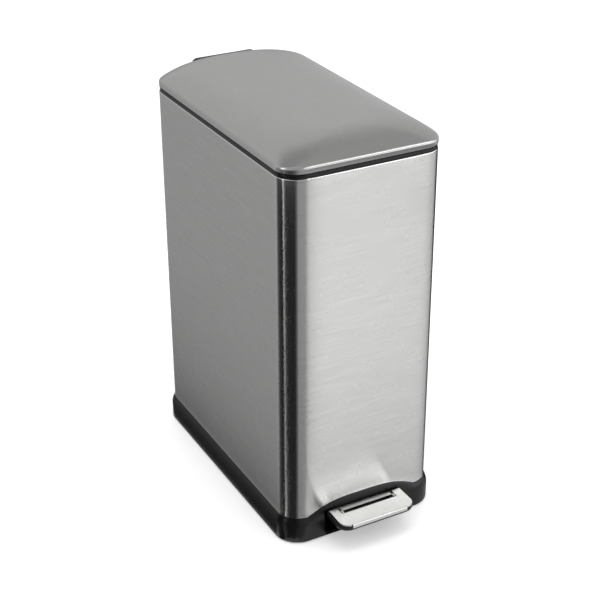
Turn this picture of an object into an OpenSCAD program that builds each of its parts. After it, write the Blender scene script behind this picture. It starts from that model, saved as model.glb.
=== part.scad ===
// Slim pedal bin for two waste streams: a brushed steel sleeve on a black base,
// a domed steel lid on a rear hinge, and a pedal that lifts it through a rod.
// X is across the front, Y runs from front to back, Z is up from the floor.

/* [Body] */
// Width of the steel sleeve
body_w = 260; // [220:1:300]
// Depth of the steel sleeve, front face to rear face
body_d = 451; // [400:1:500]
// Height of the sleeve's top edge above the floor
body_top = 604; // [520:1:700]
// Outer radius of the sleeve's upright corners
corner_r = 34; // [30:1:40]
// Thickness of the sleeve's sheet steel
steel_t = 1; // [0.8:0.1:1.4]

/* [Lid] */
// Height of the dark gap between the sleeve and the lid
gap_h = 7; // [6.6:0.1:8]
// Height of the lid's upright skirt
skirt_h = 9.5; // [8:0.5:13]
// Rise of the crown above the skirt
crown_h = 23.5; // [20:0.5:28]
// Length of the slope that falls to the front edge
crown_front = 72; // [50:1:90]
// Length of the slope that falls to the rear edge
crown_rear = 18; // [16:1:24]
// Thickness of the lid's sheet steel
lid_t = 1.2; // [0.8:0.1:1.4]
// Thickness of the moulded lid liner
liner_t = 2; // [1.5:0.1:2.5]
// Angle that the lid opens to
lid_angle = 80; // [60:1:82]

/* [Base] */
// Height of the base at the sides and the rear
base_h = 44; // [42:1:50]
// Height of the upright lower part of the base wall
flare_h = 28; // [22:1:32]
// How far the base stands out past the sleeve
base_flare = 5; // [4:0.5:7]
// Rise of the arch over the pedal
arch_h = 18.3; // [16:0.1:19]
// Wall thickness of the moulded base
base_wall = 2.5; // [2:0.1:3]
// Height of the inner lip that the floor pan sits on
lip_top = 66; // [65:1:72]
// Height that the rubber feet hold the base off the floor
foot_h = 1.5; // [1:0.1:3]
// Radius of a rubber foot
foot_r = 12; // [8:1:15]

/* [Pedal] */
// Reach of the pedal in front of the sleeve
pedal_reach = 57; // [50:1:65]
// Width of the steel tread plate
pedal_w = 128; // [116:1:130]
// Height of the tread plate's top above the floor
pedal_z = 49.5; // [48.5:0.1:50]
// Thickness of the tread plate and the lever's tongue
tread_t = 2; // [1.5:0.1:2.2]
// Height of the moulded tray under the tread plate
tray_h = 10.5; // [9:0.5:11]
// Width of the lever's tongue between the plate's ears
tongue_w = 95; // [90:1:100]
// Width of the dark slot in front of the tongue
slot_w = 6; // [4:0.5:7]
// Width of the pocket in the base
pocket_w = 138; // [136:1:142]

/* [Lever] */
// Distance of the lever's pivot behind the front face
pivot_back = 160; // [150:1:170]
// Height of the lever's rear roller above the floor
roller_z = 14; // [13:0.5:15]
// Radius of the rear roller
roller_r = 5; // [4:0.5:6]
// Radius of the pivot pin
pivot_r = 4; // [3:0.5:4.5]
// Thickness of each lever arm
arm_t = 3; // [2:0.5:4]

/* [Hinge and rod] */
// Distance of the hinge axis behind the rear face
hinge_back = 6.5; // [6.3:0.1:7]
// Outer radius of the hinge knuckles
knuckle_r = 5.5; // [5:0.1:5.6]
// Radius of the hinge pin
hinge_pin_r = 2.5; // [2:0.1:3]
// Reach of the hinge cover behind the rear face
cover_reach = 15; // [15:0.5:18]
// Width of the hinge cover
cover_w = 118; // [112:1:124]
// Distance from the hinge axis to the crank pin
crank_r = 24; // [22:0.5:25]
// Radius of the crank pin
crank_pin_r = 3; // [2:0.5:3.5]
// Radius of the push rod
rod_r = 3; // [2:0.5:3.5]
// Outer radius of the damper
damper_r = 7; // [6:0.5:8]

/* [Buckets] */
// Depth of the space behind the buckets that the rod runs in
channel_d = 33; // [32:1:40]
// Wall thickness of a bucket
bucket_wall = 2; // [1.5:0.1:2.5]
// Width of a bucket's lip
lip_w = 7; // [6.5:0.1:8]
// Thickness of a bucket's lip
lip_t = 3; // [2:0.5:3.5]
// How much narrower a bucket is at the bottom, on each side
draft = 7; // [4:1:10]
// Width of a bail's strap
bail_w = 5; // [4:0.5:5.5]
// Thickness of a bail's strap
bail_t = 3; // [2.5:0.1:3.5]
// Radius of a bail's pins
bail_r = 2; // [1.8:0.1:2.2]

/* [Hidden] */
$fn = 64;

// Clearances and overruns
fit = 0.3;
running = 0.05;
clear = 1;
wide_clear = 2;
overrun = 2;
slice = 0.1;
fold_fn = 28;

// Where the main faces lie; the whole bin is centred on the origin
yf = (pedal_reach - body_d - cover_reach) / 2;
yb = yf + body_d;
hx = body_w / 2;
lid_z = body_top + gap_h;
crown_z = lid_z + skirt_h;

// Black parts inside the steel
seat = steel_t + fit;
floor_t = 2.5;
pan_t = 3;
pan_z = lip_top + pan_t;
rim_wall = 2.5;
rim_depth = 26;
lid_gap = 1.4;
rim_top = lid_z - lid_gap;
rim_in = seat + rim_wall;
shelf_drop = 6.5;
shelf_z = body_top - shelf_drop;
shelf_w = 7;
shelf_t = 3;

// Crown of the lid: shape of the side shoulders and of the plan corners
side_power = 5.5;
level_shares = [0, 0.08, 0.2, 0.36, 0.54, 0.72, 0.87, 0.97];
corner_growth = 20;
crown_top = crown_z + crown_h * max(level_shares);
flange_t = 1.2;
flange_w = 5;
flange_inset = 0.4;

// Arch over the pedal
arch_hx = hx - corner_r;
arch_power = 3.5;
arch_ease = 1.2;
arch_steps = 32;
flare_steps = 6;

// Pedal
tread_r = 15;
tread_back = 8;
tray_side = 3;
tray_back = 7;
tray_wall = 2.5;
tray_r = 19;
fold_h = 6.5;
fold_inset = 1;
ear_gap = 1;
tongue_front = 16.5;
tongue_bend = 9;
tongue_back = 25;
tread_z = pedal_z - tread_t;
tray_z = tread_z - tray_h;
pocket_drop = 2.5;
pocket_top = pedal_z - pocket_drop;
web_z = pocket_top - wide_clear;
pocket_z = 8;
pocket_depth = 28;
pocket_r = 4;

// Lever
front_z = 40;
pivot_y = yf + pivot_back;
rod_back = 14.5;
rod_y = yb - rod_back;
slope = (front_z - roller_z) / (rod_y - yf);
pivot_z = front_z - slope * pivot_back;
arm_h = 14;
arm_tip_h = 10;
arm_x = tongue_w / 2 - arm_t;
eye_r = 9;
roller_eye_r = 7;
arm_front = 40;
arm_rise = tongue_front + slot_w - ear_gap;

// Pivot bracket on the base floor
ear_t = 4;
ear_x = arm_x + arm_t + wide_clear;
ear_half = 12;
bracket_t = 2;
base_floor = foot_h + floor_t;
clip_r = 7;
clip_t = 1.5;
clip_x = ear_x + ear_t + fit;
pin_x = clip_x + clip_t + clear;

// Hinge
axis_y = yb + hinge_back;
axis_z = body_top;
bracket_plate_t = 3;
bracket_h = 38;
mid_knuckle = 10;
end_knuckle = 42;
knuckle_gap = 1;
cover_wall = 2.4;
end_knuckle_x = cover_w / 2 - cover_wall - fit;
cover_top = 32;
cover_r = 8;
cover_foot = 3;
hinge_plate_t = 3.6;
hinge_plate_d = 32;
hinge_rise = 0.4;
hinge_low = lid_z + hinge_rise - axis_z;
notch_top = crown_z + clear;
hinge_screw_xs = [-end_knuckle_x / 2, end_knuckle_x / 2];
hinge_screw_z = axis_z - bracket_h * 3 / 4;

// Crank and push rod
crank_drop = lid_angle / 2;
crank_y = axis_y - crank_r * cos(crank_drop);
crank_z = axis_z - crank_r * sin(crank_drop);
cheek_x = 8;
cheek_t = 4;
cheek_r = 7;
head_gap = 0.8;
head_t = 5;
head_half = 6.5;
head_x = 6;
foot_gap = 0.5;
rod_foot_t = 8;
rod_foot_r = 8;
head_z = crank_z - crank_pin_r - head_gap;
foot_z = roller_z + roller_r + foot_gap;

// Guides and damper
guide_drop = 64;
guide_z = body_top - guide_drop;
guide_h = 18;
guide_x = 14;
guide_d = 23;
bush_r = 6;
bush_flange_r = 10;
bush_flange_t = 3;
damper_x = 40;
damper_drop = 304;
damper_z = body_top - damper_drop;
damper_h = 120;
damper_wall = 1.6;
gland_h = 5;
damper_rod_r = 2;
piston_r = 5;
piston_h = 6;
collar_rise = 14;
collar_h = 12;
collar_r = 8;
collar_z = damper_z + damper_h + collar_rise;
clip_block_x = 11;
clip_block_h = 12;

// Buckets and their bails
lip_gap = 0.7;
lip_in = rim_in + lip_gap;
lip_r = corner_r - lip_in;
bucket_gap = 0.5;
bucket_mid = (yf + lip_in + yb - channel_d) / 2;
front_y0 = yf + lip_in;
front_y1 = bucket_mid - bucket_gap / 2;
rear_y0 = bucket_mid + bucket_gap / 2;
rear_y1 = yb - channel_d;
bucket_top = shelf_z + lip_t;
bail_ear_t = 3;
bail_ear_half = 4;
bail_ear_h = 6.3;
bail_straight = 12;
bail_half = 78;
bail_end = 0.8;
bail_z = bucket_top + bail_r + fit;
ear_in = hx - lip_in - lip_w - bucket_wall;

// Small hardware
screw_r = 4;
screw_h = 2;
shank_r = 2;
foot_in = 45;
bumper_l = 16;
bumper_w = 2;
bumper_in = 60;

function arch_z(x) =
    base_h + arch_h * pow(1 - pow(min(abs(x) / arch_hx, 1), arch_power), arch_ease);
function flare_at(z, top) =
    z <= flare_h ? base_flare : base_flare * (1 - pow((z - flare_h) / (top - flare_h), 2));
function side_in(t) = hx * (1 - pow(1 - t, 1 / side_power));
function slope_in(t, length) = length * (1 - sqrt(1 - t));

// Rounded rectangle across x, from y0 to y1
module round_plate(half, y0, y1, r) {
    translate([-half + r, y0]) square([2 * (half - r), y1 - y0]);
    translate([-half, y0 + r]) square([2 * half, y1 - y0 - 2 * r]);
    for (sx = [-1, 1], y = [y0 + r, y1 - r])
        translate([sx * (half - r), y]) circle(r);
}

// Plan outline of the sleeve, grown by e all round
module outline(e) round_plate(hx + e, yf - e, yb + e, corner_r + e);

// Wall that follows the outline between two offsets and two heights
module ring(e_out, e_in, z0, z1) {
    translate([0, 0, z0]) linear_extrude(z1 - z0) difference() {
        outline(e_out);
        outline(e_in);
    }
}

// Box given by its low and high corners
module block(low, high) translate(low) cube(high - low);

// Round bar along x
module x_bar(x0, x1, y, z, r) translate([x0, y, z]) rotate([0, 90, 0]) cylinder(h = x1 - x0, r = r);

// Profile in the y-z plane, drawn from x0 to x1
module x_slab(x0, x1) translate([x0, 0, 0]) rotate([90, 0, 90]) linear_extrude(x1 - x0) children();

// Upright cylinder
module post(x, y, z0, z1, r) translate([x, y, z0]) cylinder(h = z1 - z0, r = r);

// Space under the arch, as deep as the front wall
module arch_space(y1) {
    translate([0, y1, 0]) rotate([90, 0, 0]) linear_extrude(y1 - yf + base_flare + overrun)
        polygon(concat(
            [for (i = [0:arch_steps]) let (x = arch_hx * (2 * i / arch_steps - 1)) [x, arch_z(x)]],
            [[arch_hx, 0], [-arch_hx, 0]]));
}

module body_shell() color("silver") difference() {
    ring(0, -steel_t, base_h, body_top);
    arch_space(yf + corner_r / 2);
}

// Section of the base wall: outer flare, ledge under the steel and inner lip
module skirt_section() {
    polygon(concat(
        [[base_flare, foot_h]],
        [for (j = [0:flare_steps]) let (z = flare_h + (base_h - flare_h) * j / flare_steps)
            [flare_at(z, base_h), z]],
        [[-seat, base_h], [-seat, lip_top], [-seat - base_wall, lip_top],
         [-seat - base_wall, (base_h + flare_h) / 2], [base_flare - base_wall, flare_h],
         [base_flare - base_wall, foot_h]]));
}

// Front wall under the arch: flush with the steel at the arch, flared at the foot
module apron() {
    rows = flare_steps + 2;
    xs = [for (i = [0:arch_steps]) arch_hx * (2 * i / arch_steps - 1)];
    points = [for (x = xs) let (top = arch_z(x)) each concat(
        [[x, yf - base_flare, foot_h]],
        [for (j = [0:flare_steps]) let (z = flare_h + (top - flare_h) * j / flare_steps)
            [x, yf - flare_at(z, top), z]],
        [[x, yf + seat, top], [x, yf + seat, foot_h]])];
    n = rows + 2;
    faces = concat(
        [for (i = [0:arch_steps - 1], j = [0:n - 1]) let (a = i * n, b = a + n, k = (j + 1) % n)
            each [[a + j, a + k, b + k], [a + j, b + k, b + j]]],
        [[for (j = [0:n - 1]) n - 1 - j], [for (j = [0:n - 1]) arch_steps * n + j]]);
    polyhedron(points, faces);
}

module base() color("#1c1c1e") difference() {
    union() {
        for (sx = [0, 1], y = [0, 1])
            mirror([sx, 0, 0]) translate([0, y * (yf + yb), 0]) mirror([0, y, 0])
                translate([arch_hx, yb - corner_r, 0]) rotate_extrude(angle = 90)
                    translate([corner_r, 0]) skirt_section();
        for (sx = [0, 1])
            mirror([sx, 0, 0]) translate([hx, yb - corner_r, 0]) rotate([90, 0, 0])
                linear_extrude(body_d - 2 * corner_r) skirt_section();
        translate([-arch_hx, yb, 0]) rotate([90, 0, 90])
            linear_extrude(2 * arch_hx) skirt_section();
        apron();
        block([-arch_hx, yf + seat, foot_h], [arch_hx, yf + seat + base_wall, lip_top]);
        translate([0, 0, foot_h]) linear_extrude(floor_t) outline(base_flare - base_wall);
        for (sx = [-1, 1]) translate([sx * (pocket_w + base_wall) / 2, 0, 0])
            block([-base_wall / 2, yf + seat, foot_h],
                  [base_wall / 2, yf + pocket_depth, pocket_top + base_wall]);
        block([-pocket_w / 2, yf + seat, pocket_top],
              [pocket_w / 2, yf + pocket_depth, pocket_top + base_wall]);
    }
    translate([0, yf + seat + base_wall + slice, 0]) rotate([90, 0, 0])
        linear_extrude(seat + base_wall + base_flare + overrun)
            round_plate(pocket_w / 2, pocket_z, pocket_top, pocket_r);
}

module floor_pan() color("#242426") translate([0, 0, lip_top]) linear_extrude(pan_t) difference() {
    outline(-seat);
    translate([0, rod_y]) circle(bush_r + running);
    for (sx = [-1, 1], y = [yf + foot_in, yb - foot_in])
        translate([sx * (hx - foot_in / 2), y]) circle(shank_r + running);
}

module pan_screws() color("gray")
    for (sx = [-1, 1], y = [yf + foot_in, yb - foot_in])
        post(sx * (hx - foot_in / 2), y, lip_top - screw_h, pan_z, shank_r);

module feet() color("#303030")
    for (sx = [-1, 1], y = [yf + foot_in, yb - foot_in])
        translate([sx * (hx - foot_in / 2), y, 0]) rotate_extrude()
            polygon([[0, 0], [foot_r - foot_h / 2, 0], [foot_r, foot_h / 2], [foot_r, foot_h], [0, foot_h]]);

module top_rim() color("#1a1a1c") {
    ring(-seat, -rim_in, body_top - rim_depth, rim_top);
    difference() {
        union() {
            ring(-rim_in, -rim_in - shelf_w, shelf_z - shelf_t, shelf_z);
            intersection() {
                translate([0, 0, shelf_z - shelf_t]) linear_extrude(shelf_t) outline(-rim_in);
                block([-hx, yb - channel_d - shelf_w, 0], [hx, yb, body_top]);
            }
        }
        block([-cheek_x - cheek_t - wide_clear, crank_y - crank_r / 2 - cheek_r, shelf_z - shelf_t - overrun],
              [cheek_x + cheek_t + wide_clear, yb - rim_in, shelf_z + overrun]);
    }
}

// Bumpers on the rim that the closed lid rests on
module lid_bumpers() color("#3a3a3a")
    for (sx = [-1, 1], y = [yf + bumper_in, yb - bumper_in])
        translate([sx * (hx - seat - rim_wall / 2), y, 0])
            block([-bumper_w / 2, -bumper_l / 2, rim_top], [bumper_w / 2, bumper_l / 2, lid_z - fit]);

// Bucket between y0 and y1, with a lip that hangs on the rim's shelf
module bucket(y0, y1) {
    half = hx - lip_in;
    difference() {
        union() {
            translate([0, 0, shelf_z]) linear_extrude(lip_t) round_plate(half, y0, y1, lip_r);
            hull() {
                translate([0, 0, shelf_z]) linear_extrude(slice)
                    round_plate(half - lip_w, y0 + lip_w, y1 - lip_w, lip_r - lip_w, $fn = fold_fn);
                translate([0, 0, pan_z]) linear_extrude(slice)
                    round_plate(half - lip_w - draft, y0 + lip_w + draft, y1 - lip_w - draft,
                                lip_r - lip_w, $fn = fold_fn);
            }
            for (x0 = [ear_in, -ear_in - bail_ear_t]) translate([x0, (y0 + y1) / 2, 0])
                block([0, -bail_ear_half, shelf_z], [bail_ear_t, bail_ear_half, bucket_top + bail_ear_h]);
        }
        hull() {
            translate([0, 0, bucket_top]) linear_extrude(overrun)
                round_plate(half - lip_w - bucket_wall, y0 + lip_w + bucket_wall,
                            y1 - lip_w - bucket_wall, lip_r - lip_w - bucket_wall, $fn = fold_fn);
            translate([0, 0, pan_z + bucket_wall]) linear_extrude(slice)
                round_plate(half - lip_w - draft - bucket_wall, y0 + lip_w + draft + bucket_wall,
                            y1 - lip_w - draft - bucket_wall, lip_r - lip_w - bucket_wall, $fn = fold_fn);
        }
        x_bar(-hx, hx, (y0 + y1) / 2, bail_z, bail_r + running);
    }
}

module front_bucket() color("#4a4d50") bucket(front_y0, front_y1);
module rear_bucket() color("#5b7f95") bucket(rear_y0, rear_y1);

// Strap bail from pins in the ears at y_pin to a cross bar at y_bar, lying on the lip
module bail(y_pin, y_bar) {
    out = hx - lip_in - fit;
    way = sign(y_bar - y_pin);
    y_end = y_pin - way * bail_end;
    y_bend = y_pin + way * bail_straight;
    w = way * bail_w / 2;
    for (sx = [0, 1]) mirror([sx, 0, 0]) {
        translate([0, 0, bail_z - bail_t / 2]) linear_extrude(bail_t) polygon([
            [out - bail_w, y_end], [out, y_end], [out, y_bend], [bail_half + bail_w / 2, y_bar + w],
            [0, y_bar + w], [0, y_bar - w], [bail_half - bail_w / 2, y_bar - w], [out - bail_w, y_bend]]);
        x_bar(ear_in, out - bail_w / 2, y_pin, bail_z, bail_r);
    }
}

module front_bail() color("silver") bail((front_y0 + front_y1) / 2, front_y1 - lip_w / 2);
module rear_bail() color("silver") bail((rear_y0 + rear_y1) / 2, rear_y0 + lip_w / 2);

// Domed solid under the lid's top, shrunk by e, from height z0 up
module crown(e, z0) hull() {
    translate([0, 0, z0]) linear_extrude(slice)
        round_plate(hx - e, yf + e, yb - e, corner_r - e, $fn = fold_fn);
    for (t = level_shares)
        translate([0, 0, crown_z + crown_h * t - e]) linear_extrude(slice)
            round_plate(hx - side_in(t) - e, yf + slope_in(t, crown_front) + e,
                        yb - slope_in(t, crown_rear) - e, corner_r + corner_growth * t - e, $fn = fold_fn);
}

// Opening in the lid's rear skirt that the hinge arms pass through
module hinge_notch() block([-cover_w / 2, yb - hinge_plate_d, lid_z - overrun],
                           [cover_w / 2, yb + overrun, notch_top]);

module lid_skin() color("silver") difference() {
    crown(0, lid_z + flange_t);
    crown(lid_t, lid_z - overrun);
    hinge_notch();
}

module lid_liner() color("#1e1e20") {
    difference() {
        union() {
            difference() {
                crown(lid_t + fit, lid_z);
                crown(lid_t + fit + liner_t, lid_z - overrun);
            }
            ring(-flange_inset, -flange_w, lid_z, lid_z + flange_t);
        }
        hinge_notch();
    }
    block([-mid_knuckle, yb - hinge_plate_d, axis_z + hinge_low + hinge_plate_t],
          [mid_knuckle, yb - crown_rear - liner_t, crown_top - lid_t - fit - liner_t / 2]);
}

// Root half of the hinge: a plate on the rear face with three ears
module hinge_ear(x0, x1) {
    difference() {
        union() {
            x_bar(x0, x1, axis_y, axis_z, knuckle_r);
            x_slab(x0, x1) polygon([
                [yb, axis_z - bracket_h * 2 / 3], [yb + bracket_plate_t, axis_z - bracket_h * 2 / 3],
                [axis_y + knuckle_r * 0.6, axis_z - knuckle_r * 0.8], [axis_y, axis_z],
                [axis_y - knuckle_r / 2, axis_z + knuckle_r / 2], [yb, axis_z]]);
        }
        x_bar(x0 - overrun, x1 + overrun, axis_y, axis_z, hinge_pin_r + running);
    }
}

module hinge_bracket() color("#1a1a1c") {
    difference() {
        block([-end_knuckle_x, yb, axis_z - bracket_h],
              [end_knuckle_x, yb + bracket_plate_t, axis_z - 2 * knuckle_r]);
        for (x = hinge_screw_xs) translate([x, yb - overrun, hinge_screw_z]) rotate([-90, 0, 0])
            cylinder(h = bracket_plate_t + 2 * overrun, r = shank_r + running);
    }
    hinge_ear(-mid_knuckle, mid_knuckle);
    hinge_ear(end_knuckle, end_knuckle_x);
    hinge_ear(-end_knuckle_x, -end_knuckle);
}

module hinge_screws() color("gray") for (x = hinge_screw_xs) translate([x, yb, hinge_screw_z])
    rotate([-90, 0, 0]) {
        cylinder(h = bracket_plate_t, r = shank_r);
        translate([0, 0, bracket_plate_t]) cylinder(h = screw_h, r = screw_r);
    }

module hinge_pin() color("gainsboro")
    x_bar(-end_knuckle_x, end_knuckle_x, axis_y, axis_z, hinge_pin_r);

// Moving half of the hinge: a plate in the lid, two knuckle arms and the crank cheeks
module lid_hinge() color("#202022") {
    arm_x0 = mid_knuckle + knuckle_gap;
    arm_x1 = end_knuckle - knuckle_gap;
    low = axis_z + hinge_low;
    for (x0 = [arm_x0, -arm_x1]) difference() {
        union() {
            x_bar(x0, x0 + arm_x1 - arm_x0, axis_y, axis_z, knuckle_r);
            x_slab(x0, x0 + arm_x1 - arm_x0) polygon([
                [axis_y - knuckle_r, axis_z], [axis_y - knuckle_r, low],
                [yb - hinge_plate_d, low], [yb - hinge_plate_d, low + hinge_plate_t],
                [yb - liner_t, crown_z], [axis_y + knuckle_r, low + hinge_plate_t],
                [axis_y + knuckle_r, axis_z]]);
        }
        x_bar(x0 - overrun, x0 + arm_x1 - arm_x0 + overrun, axis_y, axis_z, hinge_pin_r + running);
    }
    block([-arm_x0, yb - hinge_plate_d, low], [arm_x0, yb - rim_in, low + hinge_plate_t]);
    for (x0 = [cheek_x, -cheek_x - cheek_t]) difference() {
        union() {
            x_bar(x0, x0 + cheek_t, crank_y, crank_z, cheek_r);
            x_slab(x0, x0 + cheek_t) polygon([
                [crank_y - cheek_r, crank_z], [crank_y + cheek_r, crank_z],
                [crank_y + cheek_r - wide_clear, low], [crank_y - cheek_r, low]]);
        }
        x_bar(x0 - overrun, x0 + cheek_t + overrun, crank_y, crank_z, crank_pin_r + running);
    }
}

module crank_pin() color("gainsboro")
    x_bar(-cheek_x - cheek_t, cheek_x + cheek_t, crank_y, crank_z, crank_pin_r);

module lid_screws() color("gray") for (sx = [-1, 1])
    translate([sx * mid_knuckle / 2, 0, 0])
        post(0, yb - hinge_plate_d + screw_r + clear, axis_z + hinge_low - screw_h, axis_z + hinge_low, screw_r);

// Moving cap over the hinge, open at the front and below
module cover_section(t) {
    rear = cover_reach - hinge_back - t;
    top = cover_top - t;
    r = cover_r - t;
    top_share = (axis_z + top - crown_z) / crown_h;
    translate([axis_y, axis_z]) {
        polygon(concat(
            [[rear, cover_foot]],
            [for (a = [0:9:90]) [rear - r + r * cos(a), top - r + r * sin(a)]],
            [for (k = [4:-1:0]) let (share = top_share * k / 4)
                [-hinge_back - slope_in(share, crown_rear) + fit, crown_z + crown_h * share - axis_z]],
            [[-hinge_back + fit, hinge_low + hinge_plate_t], [-knuckle_r - fit, cover_foot]]));
    }
}

module hinge_cover() color("#141416") difference() {
    x_slab(-cover_w / 2, cover_w / 2) cover_section(0);
    x_slab(-cover_w / 2 + cover_wall, cover_w / 2 - cover_wall) union() {
        cover_section(cover_wall);
        translate([axis_y - hinge_back - crown_rear, axis_z - overrun])
            square([hinge_back + crown_rear, cover_top - cover_wall + overrun]);
        translate([axis_y - hinge_back, axis_z - overrun])
            square([cover_reach - cover_wall, cover_foot + 2 * overrun]);
    }
}

// Plan of the tread plate and of the tray: square at the back, round at the front
module tread_plan(half, front, back, r) {
    translate([-half + r, front]) square([2 * (half - r), back - front]);
    translate([-half, front + r]) square([2 * half, back - front - r]);
    for (sx = [-1, 1]) translate([sx * (half - r), front + r]) circle(r);
}

module pedal_plate() color("gainsboro") {
    translate([0, 0, tread_z]) linear_extrude(tread_t) difference() {
        tread_plan(pedal_w / 2, yf - pedal_reach + fold_inset, yf - tread_back, tread_r);
        translate([-tongue_w / 2 - ear_gap, yf - tongue_front - slot_w])
            square([tongue_w + 2 * ear_gap, tongue_front + slot_w]);
    }
    block([-pedal_w / 2 + tread_r, yf - pedal_reach, pedal_z - fold_h],
          [pedal_w / 2 - tread_r, yf - pedal_reach + fold_inset + fit, pedal_z]);
}

module pedal_tray() color("#18181a") difference() {
    front = yf - pedal_reach + fold_inset + fit;
    half = pedal_w / 2 + tray_side;
    translate([0, 0, tray_z]) linear_extrude(tray_h)
        tread_plan(half, front, yf - tray_back, tray_r);
    translate([0, 0, tray_z + tray_wall]) linear_extrude(tray_h)
        tread_plan(half - tray_wall, front + tray_wall, yf - tray_back - tray_wall, tray_r - tray_wall);
    for (sx = [-1, 1]) translate([sx * (arm_x + arm_t / 2), 0, 0])
        block([-arm_t / 2 - fit, yf - tray_back - tray_wall - overrun, tray_z + tray_wall],
              [arm_t / 2 + fit, yf - tray_back + overrun, pedal_z]);
    block([-tongue_w / 2 - fit, yf - tray_back - tray_wall - overrun, web_z - tread_t - fit],
          [tongue_w / 2 + fit, yf - tray_back + overrun, pedal_z]);
}

module pedal_lever() color("gainsboro") {
    x_slab(-tongue_w / 2, tongue_w / 2) polygon([
        [yf - tongue_front, tread_z], [yf - tongue_front, pedal_z], [yf - tongue_bend, pedal_z],
        [yf - tongue_bend, web_z], [yf + tongue_back, web_z], [yf + tongue_back, web_z - tread_t],
        [yf - tongue_bend - tread_t, web_z - tread_t], [yf - tongue_bend - tread_t, tread_z]]);
    for (x0 = [arm_x, -arm_x - arm_t]) difference() {
        union() {
            x_slab(x0, x0 + arm_t) polygon([
                [yf - arm_front, tray_z + tray_wall], [yf - arm_front, tread_z],
                [yf - arm_rise, tread_z], [yf - arm_rise, pedal_z], [yf - tongue_bend, pedal_z],
                [yf - tongue_bend, web_z], [yf + tongue_back, web_z], [rod_y, roller_z + arm_tip_h / 2],
                [rod_y, roller_z - arm_tip_h / 2], [yf + tongue_back, front_z - arm_h / 2],
                [yf, tray_z + tray_wall]]);
            x_bar(x0, x0 + arm_t, pivot_y, pivot_z, eye_r);
            x_bar(x0, x0 + arm_t, rod_y, roller_z, roller_eye_r);
        }
        x_bar(x0 - overrun, x0 + arm_t + overrun, pivot_y, pivot_z, pivot_r + running);
        x_bar(x0 - overrun, x0 + arm_t + overrun, rod_y, roller_z, roller_r / 2 + running);
    }
}

module lever_roller() color("dimgray") {
    x_bar(-arm_x + fit, arm_x - fit, rod_y, roller_z, roller_r);
    x_bar(-arm_x - arm_t, arm_x + arm_t, rod_y, roller_z, roller_r / 2);
}

module pivot_bracket() color("silver") {
    block([-ear_x - ear_t, pivot_y - ear_half, base_floor],
          [ear_x + ear_t, pivot_y + ear_half, base_floor + bracket_t]);
    for (x0 = [ear_x, -ear_x - ear_t]) difference() {
        union() {
            block([x0, pivot_y - ear_half, base_floor], [x0 + ear_t, pivot_y + ear_half, pivot_z]);
            x_bar(x0, x0 + ear_t, pivot_y, pivot_z, ear_half);
        }
        x_bar(x0 - overrun, x0 + ear_t + overrun, pivot_y, pivot_z, pivot_r + running);
    }
}

module pivot_pin() color("gainsboro") difference() {
    x_bar(-pin_x, pin_x, pivot_y, pivot_z, pivot_r);
    for (x0 = [clip_x, -clip_x - clip_t]) difference() {
        x_bar(x0, x0 + clip_t, pivot_y, pivot_z, pivot_r + overrun);
        x_bar(x0 - overrun, x0 + clip_t + overrun, pivot_y, pivot_z, pivot_r - clear);
    }
}

module pivot_clips() color("dimgray") for (x0 = [clip_x, -clip_x - clip_t]) difference() {
    x_bar(x0, x0 + clip_t, pivot_y, pivot_z, clip_r);
    x_bar(x0 - overrun, x0 + clip_t + overrun, pivot_y, pivot_z, pivot_r - clear + running);
}

// Rubber blocks on the base floor that the lever's rear end rests on
module lever_stop() color("#3a3a3a") for (sx = [-1, 1])
    translate([sx * (arm_x + arm_t / 2), 0, 0])
        block([-ear_t, rod_y - ear_half, base_floor],
              [ear_t, rod_y + ear_half, roller_z - roller_eye_r - fit]);

module push_rod() color("gainsboro") post(0, rod_y, foot_z + rod_foot_t / 2, head_z - head_t / 2, rod_r);

module rod_head() color("#202022") difference() {
    block([-head_x, rod_y - head_half, head_z - head_t], [head_x, rod_y + head_half, head_z]);
    post(0, rod_y, head_z - head_t - overrun, head_z - head_t / 2, rod_r + running);
}

module rod_foot() color("#202022") difference() {
    post(0, rod_y, foot_z, foot_z + rod_foot_t, rod_foot_r);
    post(0, rod_y, foot_z + rod_foot_t / 2, foot_z + rod_foot_t + overrun, rod_r + running);
}

module rod_collar() color("#202022") difference() {
    union() {
        for (x = [0, damper_x]) post(x, rod_y, collar_z, collar_z + collar_h, collar_r);
        block([0, rod_y - collar_r / 2, collar_z], [damper_x, rod_y + collar_r / 2, collar_z + collar_h]);
    }
    post(0, rod_y, collar_z - overrun, collar_z + collar_h + overrun, rod_r + running);
    post(damper_x, rod_y, collar_z - overrun, collar_z + collar_h / 2, damper_rod_r + running);
}

module upper_guide() color("#202022") difference() {
    block([-guide_x, yb - steel_t - guide_d, guide_z], [guide_x, yb - steel_t, guide_z + guide_h]);
    post(0, rod_y, guide_z - overrun, guide_z + guide_h + overrun, rod_r + running);
}

module lower_guide() color("#e8e8e4") difference() {
    union() {
        post(0, rod_y, lip_top - pan_t, pan_z, bush_r);
        post(0, rod_y, pan_z, pan_z + bush_flange_t, bush_flange_r);
    }
    post(0, rod_y, lip_top - pan_t - overrun, pan_z + bush_flange_t + overrun, rod_r + running);
}

module damper_body() color("#2a2a2c") difference() {
    post(damper_x, rod_y, damper_z, damper_z + damper_h, damper_r);
    post(damper_x, rod_y, damper_z + gland_h, damper_z + damper_h - gland_h, damper_r - damper_wall);
    post(damper_x, rod_y, damper_z + damper_h - gland_h - overrun, damper_z + damper_h + overrun,
         damper_rod_r + running);
}

module damper_rod() color("gainsboro") {
    post(damper_x, rod_y, damper_z + 2 * gland_h, damper_z + 2 * gland_h + piston_h, piston_r);
    post(damper_x, rod_y, damper_z + 2 * gland_h, collar_z + collar_h / 2, damper_rod_r);
}

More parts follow.
